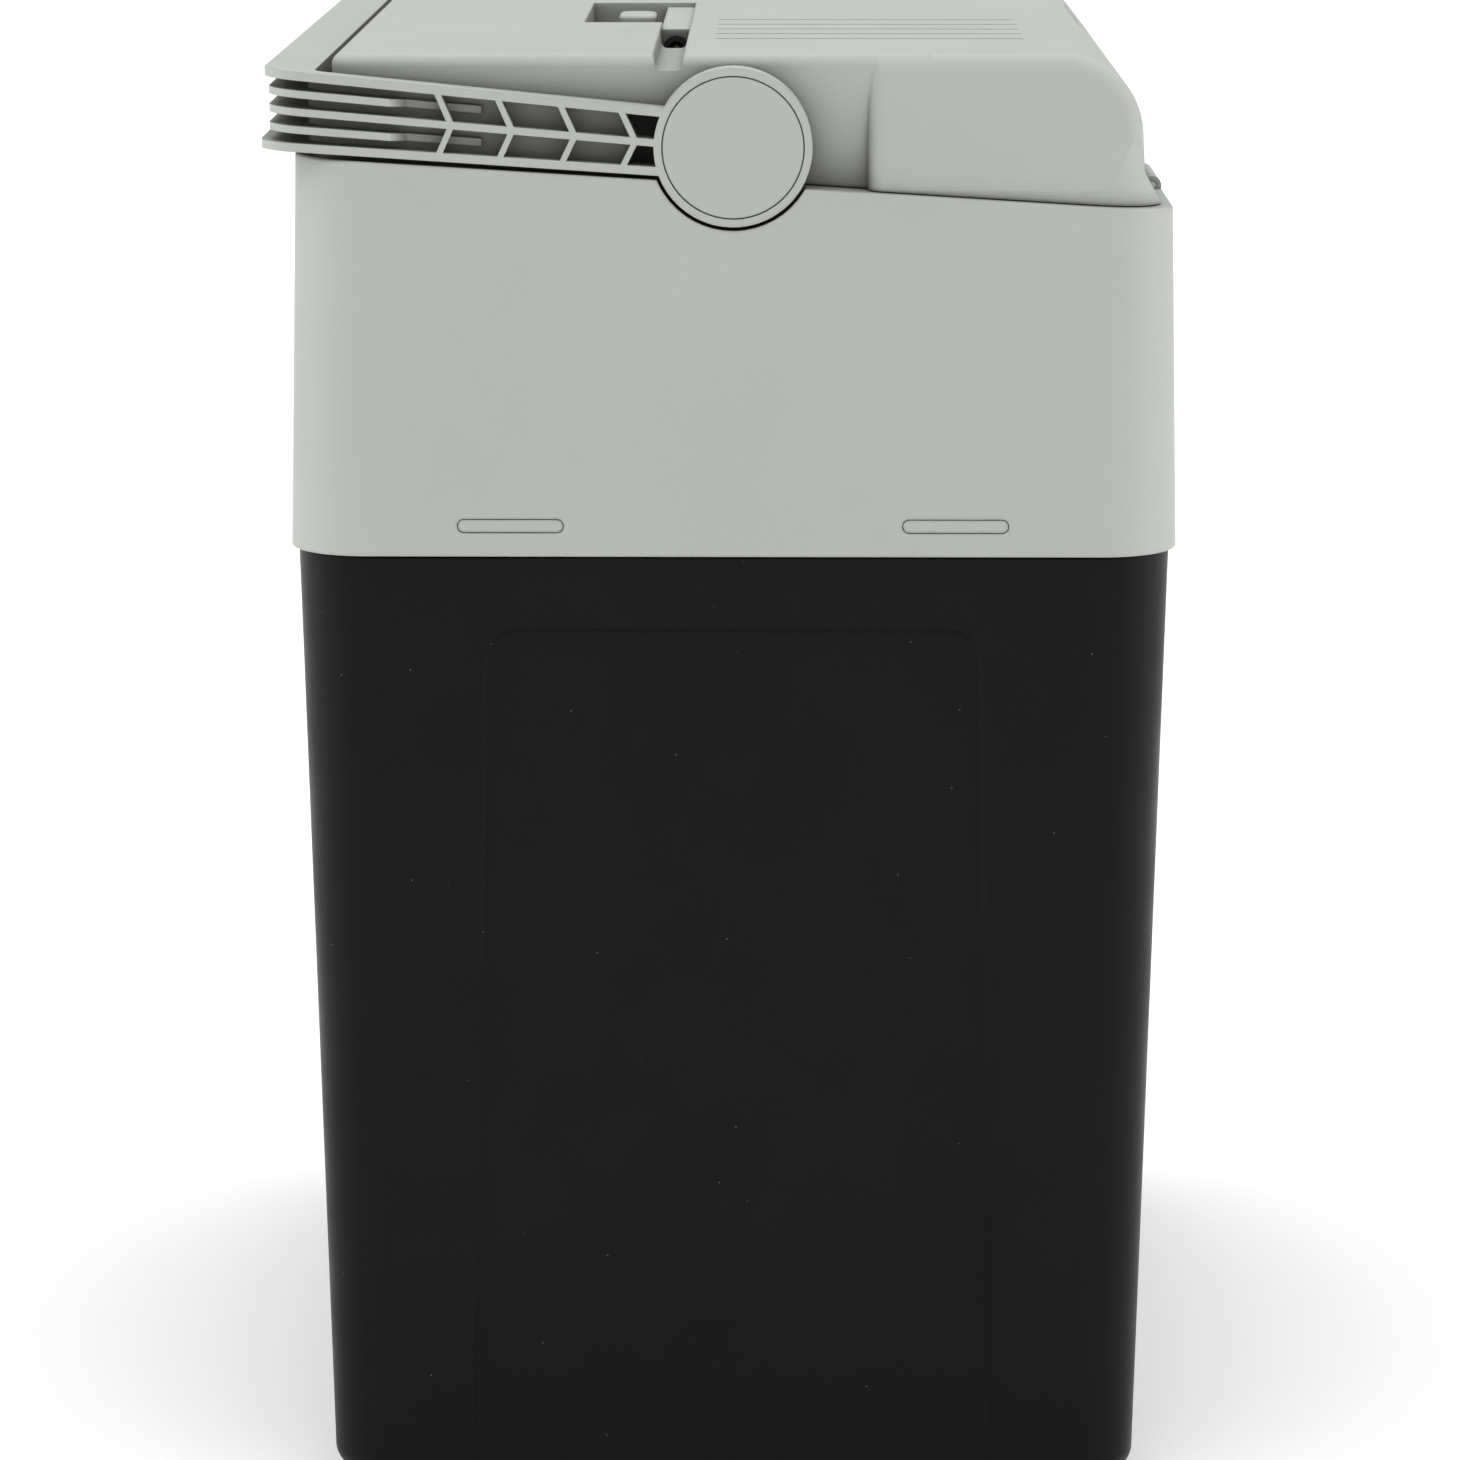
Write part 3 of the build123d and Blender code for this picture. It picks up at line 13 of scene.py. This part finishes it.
import bpy
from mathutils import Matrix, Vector

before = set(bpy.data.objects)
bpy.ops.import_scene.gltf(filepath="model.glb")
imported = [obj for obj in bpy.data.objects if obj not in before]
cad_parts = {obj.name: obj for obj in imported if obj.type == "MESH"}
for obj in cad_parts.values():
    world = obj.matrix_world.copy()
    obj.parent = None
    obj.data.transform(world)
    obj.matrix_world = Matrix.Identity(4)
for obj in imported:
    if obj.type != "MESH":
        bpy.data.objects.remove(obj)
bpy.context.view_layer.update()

LOG = logging.getLogger("cool_box")

Colour = tuple[float, float, float]
Point = tuple[float, float, float]
Socket = bpy.types.NodeSocket

# How moulded plastic ages, and the painted shade and highlights mixed into it, in metres and
# linear colours.
MIDDLE_NOISE = (0.3, 0.7)
CLOUD_SIZE = 0.06
HANDLED_SIZE = 0.035
# Edges are lightened partly as wear and partly as a painted highlight.
WEAR_AND_HIGHLIGHT_REACH = 0.0008
WEAR_AND_HIGHLIGHT_LIGHTENING = 1.5
SPECK_SPACING = 0.011
SPECK_EDGE = (0.016, 0.030)
SPECK_COLOUR = (0.32, 0.32, 0.31)
# Painted shade: gaps and recesses are darkened towards a warm dark colour by an ambient-occlusion
# mask.
PAINTED_SHADE_REACH = 0.035
PAINTED_SHADE_OPENNESS = (0.25, 0.8)
PAINTED_SHADE_COLOUR = (0.030, 0.026, 0.020)


def scaled(colour: Colour, factor: float) -> Colour:
    """A colour made lighter or darker by one factor."""
    return (colour[0] * factor, colour[1] * factor, colour[2] * factor)


class Bench:
    """One node-based material being mixed."""

    def __init__(self, name: str) -> None:
        """Start an empty material.

        Args:
            name: Name of the finish.
        """
        self.material = bpy.data.materials.new(name)
        self.material.use_nodes = True
        self.tree = self.material.node_tree
        self.shader = self.tree.nodes["Principled BSDF"]
        self.place = self.node("ShaderNodeTexCoord").outputs["Object"]

    def node(self, kind: str, **settings: object) -> bpy.types.Node:
        """Add a node and set its plain properties."""
        made = self.tree.nodes.new(kind)
        for key, value in settings.items():
            setattr(made, key, value)
        return made

    def join(self, source: Socket, target: Socket) -> None:
        """Link one socket to another."""
        self.tree.links.new(source, target)

    def stretched(self, stretch: Point) -> Socket:
        """Object coordinates scaled unevenly, for streaks.

        Args:
            stretch: Scale along each axis.

        Returns:
            The stretched coordinates.
        """
        mapping = self.node("ShaderNodeMapping")
        mapping.inputs["Scale"].default_value = stretch
        self.join(self.place, mapping.inputs["Vector"])
        return mapping.outputs["Vector"]

    def noise(self, size: float, detail: float = 2.0, stretch: Point | None = None) -> Socket:
        """Soft noise with features of one size.

        Args:
            size: Size of a feature in metres.
            detail: Octaves of finer noise.
            stretch: Uneven scale of the coordinates, or None.

        Returns:
            The noise value, about 0.5 on average.
        """
        made = self.node("ShaderNodeTexNoise")
        made.inputs["Scale"].default_value = 1.0 / size
        made.inputs["Detail"].default_value = detail
        source = self.place if stretch is None else self.stretched(stretch)
        self.join(source, made.inputs["Vector"])
        return made.outputs["Fac"]

    def cells(self, size: float) -> Socket:
        """Cellular pattern with cells of one size.

        Args:
            size: Size of a cell in metres.

        Returns:
            The distance to the nearest cell's middle.
        """
        made = self.node("ShaderNodeTexVoronoi")
        made.inputs["Scale"].default_value = 1.0 / size
        self.join(self.place, made.inputs["Vector"])
        return made.outputs["Distance"]

    def spread(self, value: Socket, low: float, high: float, span: tuple[float, float]) -> Socket:
        """Map a value from its own span to a new range.

        Args:
            value: The value to map.
            low: Result at the span's start.
            high: Result at the span's end.
            span: Start and end of the input range.

        Returns:
            The mapped value, clamped.
        """
        made = self.node("ShaderNodeMapRange")
        made.inputs["From Min"].default_value = span[0]
        made.inputs["From Max"].default_value = span[1]
        made.inputs["To Min"].default_value = low
        made.inputs["To Max"].default_value = high
        self.join(value, made.inputs["Value"])
        return made.outputs["Result"]

    def mixed(self, factor: Socket, first: Colour | Socket, second: Colour | Socket) -> Socket:
        """Blend two colours.

        Args:
            factor: Share of the second colour.
            first: Colour at 0.
            second: Colour at 1.

        Returns:
            The blended colour.
        """
        made = self.node("ShaderNodeMix", data_type="RGBA")
        self.join(factor, made.inputs["Factor"])
        for socket, value in ((made.inputs[6], first), (made.inputs[7], second)):
            if isinstance(value, tuple):
                socket.default_value = (*value, 1.0)
            else:
                self.join(value, socket)
        return made.outputs[2]

    def product(self, value: Socket, share: float) -> Socket:
        """A value times a fixed share."""
        made = self.node("ShaderNodeMath", operation="MULTIPLY")
        self.join(value, made.inputs[0])
        made.inputs[1].default_value = share
        return made.outputs[0]

    def bumped(self, height: Socket, depth: float, below: Socket | None = None) -> Socket:
        """Surface relief from a height value.

        Args:
            height: Height from 0 to 1.
            depth: Depth of the relief in metres.
            below: Normal of a coarser relief under this one, or None.

        Returns:
            The bent normal.
        """
        made = self.node("ShaderNodeBump")
        made.inputs["Strength"].default_value = 1.0
        made.inputs["Distance"].default_value = depth
        self.join(height, made.inputs["Height"])
        if below is not None:
            self.join(below, made.inputs["Normal"])
        return made.outputs["Normal"]

    def edges(self, radius: float) -> Socket:
        """Mask that is 1 on sharp edges and 0 on flat faces.

        Args:
            radius: How far the mask reaches from an edge, in metres.

        Returns:
            The mask.
        """
        rounded = self.node("ShaderNodeBevel", samples=4)
        rounded.inputs["Radius"].default_value = radius
        plain = self.node("ShaderNodeNewGeometry")
        dot = self.node("ShaderNodeVectorMath", operation="DOT_PRODUCT")
        self.join(rounded.outputs["Normal"], dot.inputs[0])
        self.join(plain.outputs["Normal"], dot.inputs[1])
        return self.spread(dot.outputs["Value"], 1.0, 0.0, (0.86, 0.995))

    def painted_recess_shade(self, reach: float, span: tuple[float, float]) -> Socket:
        """Painted shade mask that is 1 deep in gaps and recesses, where shade falls, and 0 on
        open faces.

        Args:
            reach: How far away a facing wall still counts, in metres.
            span: Openness at which the mask is 1 and at which it is 0.

        Returns:
            The mask.
        """
        made = self.node("ShaderNodeAmbientOcclusion", samples=6)
        made.inputs["Distance"].default_value = reach
        return self.spread(made.outputs["AO"], 1.0, 0.0, span)

    def softened(self, radius: float) -> Socket:
        """Normal that rounds every sharp edge by a small radius."""
        made = self.node("ShaderNodeBevel", samples=4)
        made.inputs["Radius"].default_value = radius
        return made.outputs["Normal"]

    def finish(self, **values: object) -> bpy.types.Material:
        """Fill the shader's sockets and give the material back.

        Args:
            **values: Socket names with _ for a space, each a number, colour or link.

        Returns:
            The finished material.
        """
        for key, value in values.items():
            socket = self.shader.inputs[key.replace("_", " ")]
            if isinstance(value, bpy.types.NodeSocket):
                self.join(value, socket)
            elif isinstance(value, tuple):
                socket.default_value = (*value, 1.0)
            else:
                socket.default_value = value
        return self.material


@dataclass(frozen=True)
class MouldedPlastic:
    """Injection-moulded plastic with a fine spark-eroded grain.

    Attributes:
        name: Name of the finish.
        colour: Linear base colour.
        roughness: Middle roughness.
        grain: Size of a grain cell in metres.
        grain_depth: Depth of the grain in metres.
        mottle: Share by which the colour drifts.
        rub_and_highlight: How much edges lighten, partly as wear and partly as painted highlight.
        gloss: Strength of the reflection.
        dust: How strongly specks of dust show.
        recess_shade: How strongly painted shade darkens gaps and recesses.
        soft_edge: Radius that every edge is rounded by, in metres.
    """

    name: str
    colour: Colour
    roughness: float = 0.46
    grain: float = 0.0009
    grain_depth: float = 0.00003
    mottle: float = 0.03
    rub_and_highlight: float = 0.08
    gloss: float = 0.5
    dust: float = 0.0
    recess_shade: float = 0.0
    soft_edge: float = 0.0

    def make(self) -> bpy.types.Material:
        """Mix the material."""
        bench = Bench(self.name)
        cloud = bench.noise(CLOUD_SIZE, 3.0)
        shade = bench.mixed(
            bench.spread(cloud, 0.0, 1.0, MIDDLE_NOISE),
            scaled(self.colour, 1 - self.mottle),
            scaled(self.colour, 1 + self.mottle),
        )
        # Edges lighten, partly as wear and partly as a painted highlight.
        worn_and_lit = bench.edges(WEAR_AND_HIGHLIGHT_REACH)
        shade = bench.mixed(
            bench.product(worn_and_lit, self.rub_and_highlight),
            shade,
            scaled(self.colour, WEAR_AND_HIGHLIGHT_LIGHTENING),
        )
        if self.dust:
            speck = bench.spread(bench.cells(SPECK_SPACING), self.dust, 0.0, SPECK_EDGE)
            shade = bench.mixed(speck, shade, SPECK_COLOUR)
        # Painted shade: gaps and recesses are darkened where shade falls.
        if self.recess_shade:
            shade_share = bench.product(bench.painted_recess_shade(PAINTED_SHADE_REACH, PAINTED_SHADE_OPENNESS), self.recess_shade)
            shade = bench.mixed(shade_share, shade, PAINTED_SHADE_COLOUR)
        grain = bench.cells(self.grain)
        fine = bench.noise(self.grain * 0.5, 2.0)
        base = bench.softened(self.soft_edge) if self.soft_edge else None
        coarse = bench.bumped(grain, self.grain_depth, base)
        relief = bench.bumped(fine, self.grain_depth, coarse)
        handled = bench.spread(
            bench.noise(HANDLED_SIZE, 4.0),
            self.roughness - 0.05,
            self.roughness + 0.06,
            MIDDLE_NOISE,
        )
        return bench.finish(
            Base_Color=shade,
            Roughness=handled,
            Normal=relief,
            Specular_IOR_Level=self.gloss,
        )


@dataclass(frozen=True)
class SmoothPlastic:
    """Glossier plastic with faint flow lines, for liners and small inner parts."""

    name: str
    colour: Colour
    roughness: float = 0.28

    def make(self) -> bpy.types.Material:
        """Mix the material."""
        bench = Bench(self.name)
        flow = bench.noise(0.05, 2.0, (1.0, 1.0, 0.25))
        shade = bench.mixed(
            bench.spread(flow, 0.0, 1.0, MIDDLE_NOISE),
            scaled(self.colour, 0.965),
            scaled(self.colour, 1.02),
        )
        ripple = bench.bumped(bench.noise(0.03, 1.0), 0.00004)
        scratch = bench.noise(0.02, 2.0, (1.0, 6.0, 1.0))
        return bench.finish(
            Base_Color=shade,
            Roughness=bench.spread(
                scratch, self.roughness - 0.05, self.roughness + 0.1, (0.3, 0.75)
            ),
            Normal=ripple,
            Specular_IOR_Level=0.5,
        )


@dataclass(frozen=True)
class MachinedMetal:
    """Metal with drawn or turned streaks along one axis."""

    name: str
    colour: Colour
    roughness: float = 0.3
    streak: Point = (0.06, 1.0, 1.0)

    def make(self) -> bpy.types.Material:
        """Mix the material."""
        bench = Bench(self.name)
        lines = bench.noise(0.0006, 2.0, self.streak)
        cloud = bench.noise(0.012, 3.0)
        shade = bench.mixed(
            bench.spread(cloud, 0.0, 1.0, MIDDLE_NOISE),
            scaled(self.colour, 0.9),
            scaled(self.colour, 1.04),
        )
        return bench.finish(
            Base_Color=shade,
            Metallic=1.0,
            Roughness=bench.spread(
                lines, self.roughness - 0.08, self.roughness + 0.12, MIDDLE_NOISE
            ),
            Normal=bench.bumped(lines, 0.00001),
        )


@dataclass(frozen=True)
class SoftRubber:
    """Matt rubber with a fine tacky skin and picked-up dust."""

    name: str
    colour: Colour

    def make(self) -> bpy.types.Material:
        """Mix the material."""
        bench = Bench(self.name)
        dusty = bench.spread(bench.noise(0.007, 5.0), 0.0, 0.35, (0.5, 0.8))
        shade = bench.mixed(dusty, self.colour, scaled(self.colour, 2.2))
        return bench.finish(
            Base_Color=shade,
            Roughness=bench.spread(bench.noise(0.003, 3.0), 0.62, 0.82, MIDDLE_NOISE),
            Normal=bench.bumped(bench.noise(0.0006, 3.0), 0.00004),
            Specular_IOR_Level=0.3,
        )


@dataclass(frozen=True)
class RigidFoam:
    """Poured insulating foam with open cells and a crusty skin."""

    name: str
    colour: Colour

    def make(self) -> bpy.types.Material:
        """Mix the material."""
        bench = Bench(self.name)
        cell = bench.cells(0.0016)
        tone = bench.spread(cell, 0.0, 1.0, (0.1, 0.7))
        aged = bench.mixed(
            bench.spread(bench.noise(0.04, 4.0), 0.0, 1.0, (0.35, 0.65)),
            self.colour,
            scaled(self.colour, 0.86),
        )
        return bench.finish(
            Base_Color=bench.mixed(tone, scaled(self.colour, 0.8), aged),
            Roughness=0.95,
            Normal=bench.bumped(cell, 0.0003, bench.bumped(bench.noise(0.01, 4.0), 0.0006)),
            Specular_IOR_Level=0.15,
        )


@dataclass(frozen=True)
class CircuitBoard:
    """Green solder mask over copper tracks."""

    name: str
    colour: Colour

    def make(self) -> bpy.types.Material:
        """Mix the material."""
        bench = Bench(self.name)
        tracks = bench.node("ShaderNodeTexBrick")
        tracks.inputs["Scale"].default_value = 90.0
        tracks.inputs["Mortar Size"].default_value = 0.05
        tracks.inputs["Color1"].default_value = (0, 0, 0, 1)
        tracks.inputs["Color2"].default_value = (0, 0, 0, 1)
        tracks.inputs["Mortar"].default_value = (1, 1, 1, 1)
        bench.join(bench.place, tracks.inputs["Vector"])
        line = bench.spread(tracks.outputs["Color"], 0.0, 1.0, (0.0, 1.0))
        shade = bench.mixed(line, self.colour, scaled(self.colour, 1.7))
        return bench.finish(
            Base_Color=shade,
            Roughness=bench.spread(bench.noise(0.006, 3.0), 0.28, 0.42, MIDDLE_NOISE),
            Normal=bench.bumped(line, 0.00004),
        )


@dataclass(frozen=True)
class WhiteCeramic:
    """Fired alumina plate, faintly speckled."""

    name: str
    colour: Colour

    def make(self) -> bpy.types.Material:
        """Mix the material."""
        bench = Bench(self.name)
        speckle = bench.spread(bench.noise(0.0008, 4.0), 0.0, 1.0, (0.35, 0.65))
        return bench.finish(
            Base_Color=bench.mixed(speckle, scaled(self.colour, 0.93), self.colour),
            Roughness=bench.spread(bench.noise(0.004, 2.0), 0.5, 0.65, MIDDLE_NOISE),
            Normal=bench.bumped(bench.noise(0.0005, 2.0), 0.00001),
        )


GREY = MouldedPlastic(
    "grey_plastic_finish",
    (0.418, 0.436, 0.405),
    roughness=0.52,
    gloss=0.3,
    mottle=0.015,
    recess_shade=0.7,
    soft_edge=0.0018,
)
HANDLE_GREY = MouldedPlastic(
    "handle_plastic_finish",
    (0.420, 0.438, 0.408),
    roughness=0.48,
    gloss=0.3,
    mottle=0.015,
    rub_and_highlight=0.14,
    recess_shade=0.55,
    soft_edge=0.0006,
)
BLACK = MouldedPlastic(
    "black_body_finish",
    (0.0045, 0.0045, 0.0050),
    roughness=0.4,
    gloss=0.1,
    mottle=0.06,
    rub_and_highlight=0.5,
    dust=0.35,
    grain_depth=0.00002,
)
INNER_BLACK = MouldedPlastic("inner_black_finish", (0.02, 0.02, 0.021), roughness=0.4, gloss=0.4)
WHITE = SmoothPlastic("liner_finish", (0.74, 0.75, 0.74))
BUSH = SmoothPlastic("bush_finish", (0.78, 0.77, 0.72), 0.35)
STEEL = MachinedMetal("steel_finish", (0.62, 0.63, 0.64), 0.3, (1.0, 1.0, 0.1))
ALUMINIUM = MachinedMetal("aluminium_finish", (0.74, 0.75, 0.76), 0.38)
BRASS = MachinedMetal("brass_finish", (0.76, 0.58, 0.25), 0.25)
RUBBER = SoftRubber("foot_rubber_finish", (0.022, 0.022, 0.022))
GASKET = SoftRubber("gasket_finish", (0.2, 0.205, 0.2))
FOAM = RigidFoam("foam_finish", (0.82, 0.72, 0.42))
BOARD = CircuitBoard("board_finish", (0.02, 0.13, 0.05))
CERAMIC = WhiteCeramic("ceramic_finish", (0.86, 0.86, 0.84))

NODE_FINISHES = {
    BLACK: ("outer_body",),
    RUBBER: ("foot_",),
    GREY: ("upper_frame", "locking_key_", "lid_shell", "mode_slider", "exhaust_grille"),
    HANDLE_GREY: ("carry_handle", "hub_cap_"),
    WHITE: ("inner_liner", "lid_inner_panel", "cold_air_cover"),
    FOAM: ("foam_core", "lid_foam"),
    STEEL: ("hinge_pin_", "pivot_washer_", "pivot_screw_", "lid_screws", "sink_clamp_screws")
    + ("hot_fan_screws", "cold_fan_screws"),
    BUSH: ("pivot_bush_", "board_posts"),
    GASKET: ("lid_gasket",),
    ALUMINIUM: ("hot_heat_sink", "cold_heat_sink", "spacer_block", "board_heat_sink"),
    CERAMIC: ("peltier_module",),
    INNER_BLACK: ("hot_fan_", "cold_fan_", "mode_switch", "power_inlet", "board_transformer")
    + ("board_capacitors",),
    BRASS: ("inlet_contact_pin",),
    BOARD: ("power_board",),
}


class Finisher:
    """Gives every part of the frame its finish."""

    def __init__(self) -> None:
        """Mix each finish once."""
        self.made = {style: style.make() for style in NODE_FINISHES}

    def style_of(self, node: str) -> object:
        """The finish of one node; the longest matching name wins.

        Args:
            node: Name of a part.

        Returns:
            The finish.
        """
        best: tuple[int, object] = (0, GREY)
        for style, names in NODE_FINISHES.items():
            for name in names:
                if node.startswith(name) and len(name) > best[0]:
                    best = (len(name), style)
        return best[1]

    def dress(self, piece: bpy.types.Object, style: object) -> None:
        """Put one finish on all of a piece."""
        piece.data.materials.clear()
        piece.data.materials.append(self.made[style])

    def dress_frame(self) -> None:
        """Put a finish on every part of the frame."""
        for name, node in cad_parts.items():
            style = self.style_of(name)
            self.dress(node, style)
            LOG.info("%s: %s", name, style.name)


@dataclass
class Studio:
    """Pale floor, soft light and the camera."""

    floor_half: float = 30.0
    lens: float = 133.15
    eye: Point = (2.0076, 0.01693, 0.6440)
    pitch_deg: float = 11.6157
    yaw_deg: float = 0.5716
    world_light: float = 0.39
    sun_light: float = 2.75
    sun_spread_deg: float = 110.0
    side_light: float = 1.4
    softbox_size: float = 1.4
    softbox_place: Point = (0.3, 1.8, 0.75)
    softbox_aim: Point = (0.0, 0.0, 0.25)

    def floor(self) -> None:
        """Large pale floor that stands for the studio paper."""
        bpy.ops.object.select_all(action="DESELECT")
        bpy.ops.mesh.primitive_plane_add(size=2 * self.floor_half, location=(0, 0, 0))
        sheet = bpy.context.object
        sheet.name = "studio_floor"
        bench = Bench("studio_floor_finish")
        tone = bench.mixed(
            bench.spread(bench.noise(0.8, 3.0), 0.0, 1.0, MIDDLE_NOISE),
            (0.95, 0.95, 0.95),
            (0.97, 0.97, 0.97),
        )
        sheet.data.materials.append(
            bench.finish(Base_Color=tone, Roughness=0.9, Specular_IOR_Level=0.1)
        )

    def world(self) -> None:
        """Even, colourless room light."""
        room = bpy.data.worlds.new("studio_room")
        room.use_nodes = True
        light = room.node_tree.nodes["Background"]
        light.inputs["Color"].default_value = (1.0, 1.0, 1.0, 1.0)
        light.inputs["Strength"].default_value = self.world_light
        bpy.context.scene.world = room

    def softbox(self, name: str, side: int) -> None:
        """Square softbox at one side that faces the middle of the box.

        Args:
            name: Name of the light.
            side: 1 for the rear side and -1 for the front side.
        """
        size = self.softbox_size
        place = (self.softbox_place[0], side * self.softbox_place[1], self.softbox_place[2])
        data = bpy.data.lights.new(name, "AREA")
        data.shape = "SQUARE"
        data.size = size
        data.energy = self.side_light * math.pi * size * size
        lamp = bpy.data.objects.new(name, data)
        bpy.context.scene.collection.objects.link(lamp)
        lamp.location = place
        aim = Vector(self.softbox_aim) - Vector(place)
        lamp.rotation_euler = aim.to_track_quat("-Z", "Y").to_euler()

    def sky(self) -> None:
        """Very broad light from above, even over the whole floor."""
        data = bpy.data.lights.new("overhead", "SUN")
        data.energy = self.sun_light
        data.angle = math.radians(self.sun_spread_deg)
        lamp = bpy.data.objects.new("overhead", data)
        bpy.context.scene.collection.objects.link(lamp)
        lamp.location = (0, 0, 3)

    def camera(self) -> None:
        """Camera at the side of the box, a little above the lid."""
        data = bpy.data.cameras.new("side_camera")
        data.lens = self.lens
        data.sensor_width = 36.0
        data.clip_start = 0.05
        data.clip_end = 200.0
        eye = bpy.data.objects.new("side_camera", data)
        bpy.context.scene.collection.objects.link(eye)
        pitch = math.radians(self.pitch_deg)
        yaw = math.radians(self.yaw_deg)
        ahead = Vector(
            (
                -math.cos(yaw) * math.cos(pitch),
                -math.sin(yaw) * math.cos(pitch),
                -math.sin(pitch),
            )
        )
        eye.location = self.eye
        eye.rotation_euler = ahead.to_track_quat("-Z", "Y").to_euler()
        bpy.context.scene.camera = eye

    def build(self) -> None:
        """Set up the whole studio."""
        bpy.context.scene.view_settings.view_transform = "Standard"
        self.floor()
        self.world()
        self.sky()
        self.softbox("left_softbox", -1)
        self.softbox("right_softbox", 1)
        self.camera()
        LOG.info("studio ready")


def main() -> None:
    """Build the scene, piece by piece."""
    logging.basicConfig(level=logging.INFO, format="%(name)s: %(message)s")
    finisher = Finisher()
    finisher.dress_frame()
    Studio().build()


if __name__ == "__main__":
    main()
